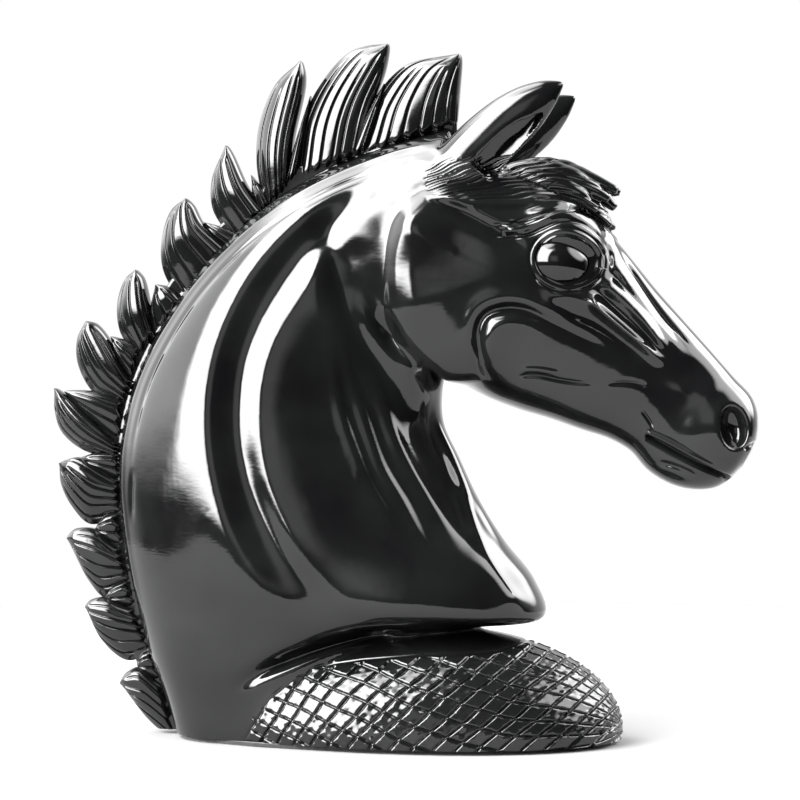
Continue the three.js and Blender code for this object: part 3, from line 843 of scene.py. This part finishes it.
def solid(name, parts):
    """A mesh from points, quads and triangles, with its faces pointing out."""
    points, quads, triangles = parts
    mesh = mesh_of(name, points, [*quads, *triangles])
    bm = bmesh.new()
    bm.from_mesh(mesh)
    bmesh.ops.recalc_face_normals(bm, faces=bm.faces)
    bm.to_mesh(mesh)
    bm.free()
    return mesh


def join(mesh, other, operation):
    """The first mesh with the second added to it or taken from it."""
    a, b = shown("a", mesh), shown("b", other)
    step = a.modifiers.new("join", "BOOLEAN")
    step.operation = operation
    step.solver = "MANIFOLD"
    step.object = b
    depsgraph = bpy.context.evaluated_depsgraph_get()
    result = bpy.data.meshes.new_from_object(a.evaluated_get(depsgraph))
    for o in (a, b):
        bpy.data.objects.remove(o)
    return result


def joined(meshes):
    """All of the meshes as one solid, joined in pairs."""
    while len(meshes) > 1:
        pairs = [join(a, b, "UNION") for a, b in zip(meshes[::2], meshes[1::2])]
        meshes = pairs + meshes[len(meshes) // 2 * 2 :]
    return meshes[0]


def together(parts):
    """Solids that stay apart, as one list of points and faces."""
    start, points, quads, triangles = 0, [], [], []
    for p, q, t in parts:
        points.append(p)
        quads.append(q + start)
        triangles.append(t + start)
        start += len(p)
    return np.vstack(points), np.vstack(quads), np.vstack(triangles)


def eye_frame(array):
    """Where the right eye sits on the skin: a point and the three ways long, high and out."""
    (at,), (out,) = settle(array, np.array([[EYE_AT[0], -EYE_SIDE, EYE_AT[1]]]), 3)
    c, s = cos_sin(EYE_TURN)
    long = np.array([c, 0, -s])
    long -= out * long.dot(out)
    long /= np.linalg.norm(long)
    return at, long, np.cross(out, long), out


def cabochon(frame_at, side, grow=0.0):
    """A low oval dome on a plug, or with grow its socket. side is -1 on the right and 1 on the left."""
    at, long, high, out = frame_at
    share = np.concatenate([np.linspace(0.03, 0.94, 24), [0.97, 0.99, 1, 1, 1, 0.5]])
    angle = round_trip(96)
    reach = np.minimum(share, 1) * EYE_HALF[0]
    lift = EYE_PROUD - EYE_CURVE + np.sqrt(EYE_CURVE**2 - reach**2)
    lift[-6:-3] -= [0.03, 0.1, 0.3]
    lift[-3:] = [-EYE_SEAT, -EYE_DEEP, -EYE_DEEP]
    lift[-3:] -= grow
    lift[:-3] += grow
    half = np.array(EYE_HALF) + grow
    ring = share[:, None, None] * (
        half[0] * np.cos(angle)[None, :, None] * long + half[1] * np.sin(angle)[None, :, None] * high
    )
    points = at + ring + lift[:, None, None] * out
    return closed(points * (1, -side, 1))


SLAB = (150, 60, 40)  # half length, half width and depth of the block that cuts the foot off flat


def bust(array, frame_at):
    """The whole stone: body and mane joined, cut flat below and with sockets for the eyes."""
    locks = [solid("lock", mane_lock(i, *edges, MANE_HALF)) for i, edges in enumerate(MANE)]
    locks += [solid("tuft", tuft(i)) for i in range(len(TUFT_TIPS))]
    stone = join(carve_body(array), joined(locks), "UNION")
    x = SLAB[0] * np.array([-1, 1, 1, -1])
    y = SLAB[1] * np.array([-1, -1, 1, 1])
    slab = np.stack([np.column_stack([x, y, np.full(4, z)]) for z in (-SLAB[2], BASE_Z)])
    sockets = [cabochon(frame_at, side, EYE_GAP) for side in (-1, 1)]
    stone = join(stone, solid("cutter", together([closed(slab), *sockets])), "DIFFERENCE")
    low, high = np.array(cad_box[0]) / MM, np.array(cad_box[1]) / MM
    move(stone, np.clip(coordinates(stone), low, high))
    return stone


def place(name, mesh, node, material, slot, sharp=50):
    o = shown(name, mesh)
    mesh.materials.clear()
    mesh.materials.append(material)
    mesh.shade_smooth()
    mesh.set_sharp_from_angle(angle=math.radians(sharp))
    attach(o, "root")
    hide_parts(node)
    return o


# ---- materials


def noise(tree, scale, detail=3.0, stretch=(1, 1, 1)):
    """Noise that is fixed to the object, in cycles per metre."""
    place = tree.nodes.new("ShaderNodeTexCoord")
    mapping = tree.nodes.new("ShaderNodeMapping")
    mapping.inputs["Scale"].default_value = stretch
    tree.links.new(place.outputs["Object"], mapping.inputs["Vector"])
    n = tree.nodes.new("ShaderNodeTexNoise")
    n.inputs["Scale"].default_value = scale
    n.inputs["Detail"].default_value = detail
    tree.links.new(mapping.outputs[0], n.inputs["Vector"])
    return n.outputs["Fac"]


def ranged(tree, value, low, high, to_low, to_high):
    n = tree.nodes.new("ShaderNodeMapRange")
    for name, number in (("From Min", low), ("From Max", high), ("To Min", to_low), ("To Max", to_high)):
        n.inputs[name].default_value = number
    tree.links.new(value, n.inputs["Value"])
    return n.outputs["Result"]


def tinted(tree, value, stops):
    n = tree.nodes.new("ShaderNodeValToRGB")
    ramp = n.color_ramp
    while len(ramp.elements) < len(stops):
        ramp.elements.new(0.5)
    for element, (at, colour) in zip(ramp.elements, stops):
        element.position = at
        element.color = (*colour, 1)
    tree.links.new(value, n.inputs["Fac"])
    return n.outputs["Color"]


def bumped(tree, layers):
    """Bumps on top of one another: each a height, its strength and its depth in metres."""
    normal = None
    for height, strength, depth in layers:
        n = tree.nodes.new("ShaderNodeBump")
        n.inputs["Strength"].default_value = strength
        n.inputs["Distance"].default_value = depth
        tree.links.new(height, n.inputs["Height"])
        if normal is not None:
            tree.links.new(normal, n.inputs["Normal"])
        normal = n.outputs["Normal"]
    return normal


def plain(name):
    """A new material, its nodes and its shader."""
    material = bpy.data.materials.new(name)
    material.use_nodes = True
    return material, material.node_tree, material.node_tree.nodes["Principled BSDF"]


def polished_stone(name, dark, light, polish, wear):
    """Near-black jade: cloudy colour, a polish that varies, and a very slight waviness."""
    material, tree, shader = plain(name)
    shader.inputs["IOR"].default_value = 1.55
    cloud = noise(tree, 45, 5)
    tree.links.new(tinted(tree, cloud, [(0.35, dark), (0.7, light)]), shader.inputs["Base Color"])
    haze = noise(tree, 140, 4)
    tree.links.new(ranged(tree, haze, 0.35, 0.75, *polish), shader.inputs["Roughness"])
    layers = [
        (noise(tree, 70, 2), wear, 0.0006),
        (noise(tree, 420, 3, (1, 1, 3)), wear, 0.00004),
    ]
    tree.links.new(bumped(tree, layers), shader.inputs["Normal"])
    return material


FELT_DARK, FELT_LIGHT = (0.006, 0.006, 0.006), (0.02, 0.02, 0.02)


def wool_felt():
    material, tree, shader = plain("felt")
    shader.inputs["Sheen Weight"].default_value = 0.4
    fibres = noise(tree, 900, 6)
    colour = tinted(tree, fibres, [(0.3, FELT_DARK), (0.7, FELT_LIGHT)])
    tree.links.new(colour, shader.inputs["Base Color"])
    tree.links.new(ranged(tree, noise(tree, 300), 0.3, 0.7, 0.85, 1.0), shader.inputs["Roughness"])
    tree.links.new(bumped(tree, [(noise(tree, 1600, 4), 0.6, 0.0004)]), shader.inputs["Normal"])
    return material


# Each stone's darkest and lightest colour, its least and greatest roughness, and its waviness.
JADE = ((0.003, 0.003, 0.0033), (0.0065, 0.0068, 0.0066), (0.05, 0.13), 0.22)
EYE_JADE = ((0.002, 0.002, 0.002), (0.005, 0.005, 0.005), (0.02, 0.05), 0.05)

# ---- felt

# The felt's outline, as in the CAD: two half ovals that meet at x = middle.
FELT = {"back": -64, "front": 57.5, "middle": 8, "half": 30, "power": 2.2}
FELT_TOP = 1.15
FELT_EDGE = 0.25  # how far its edge is rounded
FELT_MATTED = 0.04


def felt_outline(share, count=220):
    """The felt's outline drawn in to a share of its size, slightly uneven as cut with shears."""
    angle = round_trip(count)
    cos, sin = np.cos(angle), np.sin(angle)
    power = np.where(cos < 0, FELT["power"], 2)
    reach = np.where(cos < 0, FELT["middle"] - FELT["back"], FELT["front"] - FELT["middle"])
    uneven = 1 - 0.004 * (1 + np.sin(angle * 9) * np.cos(angle * 23))
    x = FELT["middle"] + signed_power(cos, 2 / power) * reach * share * uneven
    y = signed_power(sin, 2 / power) * FELT["half"] * share * uneven
    return np.stack([x, y], -1)


def felt():
    """A thin sheet with soft edges and a slightly matted face."""
    shares = [0.02, 0.2, 0.4, 0.6, 0.75, 0.88, 0.95, 0.985, 0.996]
    rings = []
    for share in shares:
        rings.append((felt_outline(share), 0.0))
    rings.append((felt_outline(1.0), FELT_EDGE))
    rings.append((felt_outline(1.0), FELT_TOP - FELT_EDGE))
    for share in reversed(shares):
        rings.append((felt_outline(share), FELT_TOP))
    stack = np.stack([np.column_stack([xy, np.full(len(xy), z)]) for xy, z in rings])
    matted = FELT_MATTED * np.sin(stack[..., 0] * 1.7) * np.sin(stack[..., 1] * 2.1 + stack[..., 0])
    stack[..., 2] = np.clip(stack[..., 2] + matted, 0, FELT_TOP)
    return solid("felt", closed(stack))


# ---- the pieces

jade = polished_stone("black_jade", *JADE)
eye_stone = polished_stone("eye_jade", *EYE_JADE)
felt_cloth = wool_felt()

body_array = body_field()
eye_at = eye_frame(body_array)
place("bust", bust(body_array, eye_at), "carved_bust", jade, "jade", 70)
for side, node_name in ((-1, "right_eye"), (1, "left_eye")):
    place(node_name + "_dome", solid(node_name, cabochon(eye_at, side)), node_name, eye_stone, "eye_stone")

felt_piece = place("felt_sheet", felt(), "base_felt", felt_cloth, "felt")

# ---- stage

FLOOR_RADIUS = 470
FLOOR_GREY = 0.25
CAMERA_AZIMUTH = 10  # degrees from the object's right side towards its front
CAMERA_DISTANCE = 0.70
CAMERA_HEIGHT = 0.0966
SENSOR = 36
SENSOR_SPAN = 800 / 3.5 * MM  # width of what the camera sees at CAMERA_DISTANCE


def floor():
    """A round pale table."""
    angle = round_trip(128)
    ring = np.column_stack([np.cos(angle), np.sin(angle), 0 * angle]) * FLOOR_RADIUS
    o = shown("floor", mesh_of("floor", ring, [range(len(ring))]))
    material, _, shader = plain("pale_floor")
    shader.inputs["Base Color"].default_value = (FLOOR_GREY, FLOOR_GREY, FLOOR_GREY, 1)
    shader.inputs["Roughness"].default_value = 0.95
    shader.inputs["Specular IOR Level"].default_value = 0.1
    o.data.materials.append(material)


# Round studio lights: direction, cosines of the angles where each starts and where it is full,
# and its radiance.
LIGHTS = [
    ((-0.42, -0.05, 0.90), 0.90, 0.975, 12),
    ((0.80, 0.0, 0.60), 0.87, 0.96, 7),
    ((0.66, 0.50, 0.56), 0.90, 0.97, 9),
]
# Tall studio lights: the way each faces in degrees from -Y towards -X, half its width as a sine, the
# sines of its lowest and highest reach, the softness of its edges and its radiance.
PANELS = [
    (46, 0.33, -0.05, 0.75, 0.11, 21),
    (88, 0.60, -0.04, 0.75, 0.22, 4.2),
    (6, 0.19, -0.04, 0.34, 0.2, 0.8),
]
BACKDROP_TOWARD = (-0.174, 0.985, 0.1)
BACKDROP = 1.1
GLOOM = 0.015  # radiance of the room in all other directions


def world():
    """Soft lights on a dark room, with a pale backdrop behind the object."""
    w = bpy.data.worlds.new("studio")
    w.use_nodes = True
    nodes, links = w.node_tree.nodes, w.node_tree.links
    toward = nodes.new("ShaderNodeTexCoord").outputs["Generated"]

    def math_node(operation, first, second):
        n = nodes.new("ShaderNodeMath")
        n.operation = operation
        for socket, value in zip(n.inputs, (first, second)):
            if isinstance(value, (int, float)):
                socket.default_value = value
            else:
                links.new(value, socket)
        return n.outputs[0]

    def steps(value, low, high, strength=1.0):
        ramp = nodes.new("ShaderNodeMapRange")
        ramp.interpolation_type = "SMOOTHSTEP"
        ramp.inputs["From Min"].default_value = low
        ramp.inputs["From Max"].default_value = high
        ramp.inputs["To Max"].default_value = strength
        links.new(value, ramp.inputs["Value"])
        return ramp.outputs["Result"]

    def along(direction):
        dot = nodes.new("ShaderNodeVectorMath")
        dot.operation = "DOT_PRODUCT"
        dot.inputs[1].default_value = direction
        links.new(toward, dot.inputs[0])
        return dot.outputs["Value"]

    def panel(facing, half, low, high, soft, strength):
        c, s = cos_sin(facing)
        off = math_node("ABSOLUTE", along((-c, s, 0)), 0)
        inside = math_node("SUBTRACT", 1, steps(off, half - soft / 2, half + soft / 2))
        inside = math_node("MULTIPLY", inside, steps(along((-s, -c, 0)), 0, 0.1, strength))
        up = along((0, 0, 1))
        inside = math_node("MULTIPLY", inside, steps(up, low, low + soft))
        below = math_node("SUBTRACT", 1, steps(up, high, high + soft))
        return math_node("MULTIPLY", inside, below)

    def glow(direction, outer, inner, strength):
        return steps(along(Vector(direction).normalized()), outer, inner, strength)

    total = glow(BACKDROP_TOWARD, 0.0, 0.5, BACKDROP)
    for one in PANELS:
        total = math_node("ADD", total, panel(*one))
    for light in LIGHTS:
        total = math_node("ADD", total, glow(*light))
    total = math_node("ADD", total, GLOOM)
    back = nodes["Background"]
    back.inputs["Color"].default_value = (1, 1, 1, 1)
    links.new(total, back.inputs["Strength"])
    seen = nodes.new("ShaderNodeBackground")
    seen.inputs["Color"].default_value = (1, 1, 1, 1)
    path = nodes.new("ShaderNodeLightPath")
    mix = nodes.new("ShaderNodeMixShader")
    links.new(path.outputs["Is Camera Ray"], mix.inputs[0])
    links.new(back.outputs[0], mix.inputs[1])
    links.new(seen.outputs[0], mix.inputs[2])
    links.new(mix.outputs[0], nodes["World Output"].inputs["Surface"])
    bpy.context.scene.world = w


def camera():
    azimuth, distance = math.radians(CAMERA_AZIMUTH), CAMERA_DISTANCE
    data = bpy.data.cameras.new("camera")
    data.sensor_width = SENSOR
    data.lens = SENSOR * distance / SENSOR_SPAN
    o = shown("camera", data)
    o.location = (distance * math.sin(azimuth), -distance * math.cos(azimuth), CAMERA_HEIGHT)
    o.rotation_euler = (math.pi / 2, 0, azimuth)
    bpy.context.scene.camera = o


floor()
world()
camera()
bpy.context.scene.view_settings.view_transform = "Standard"
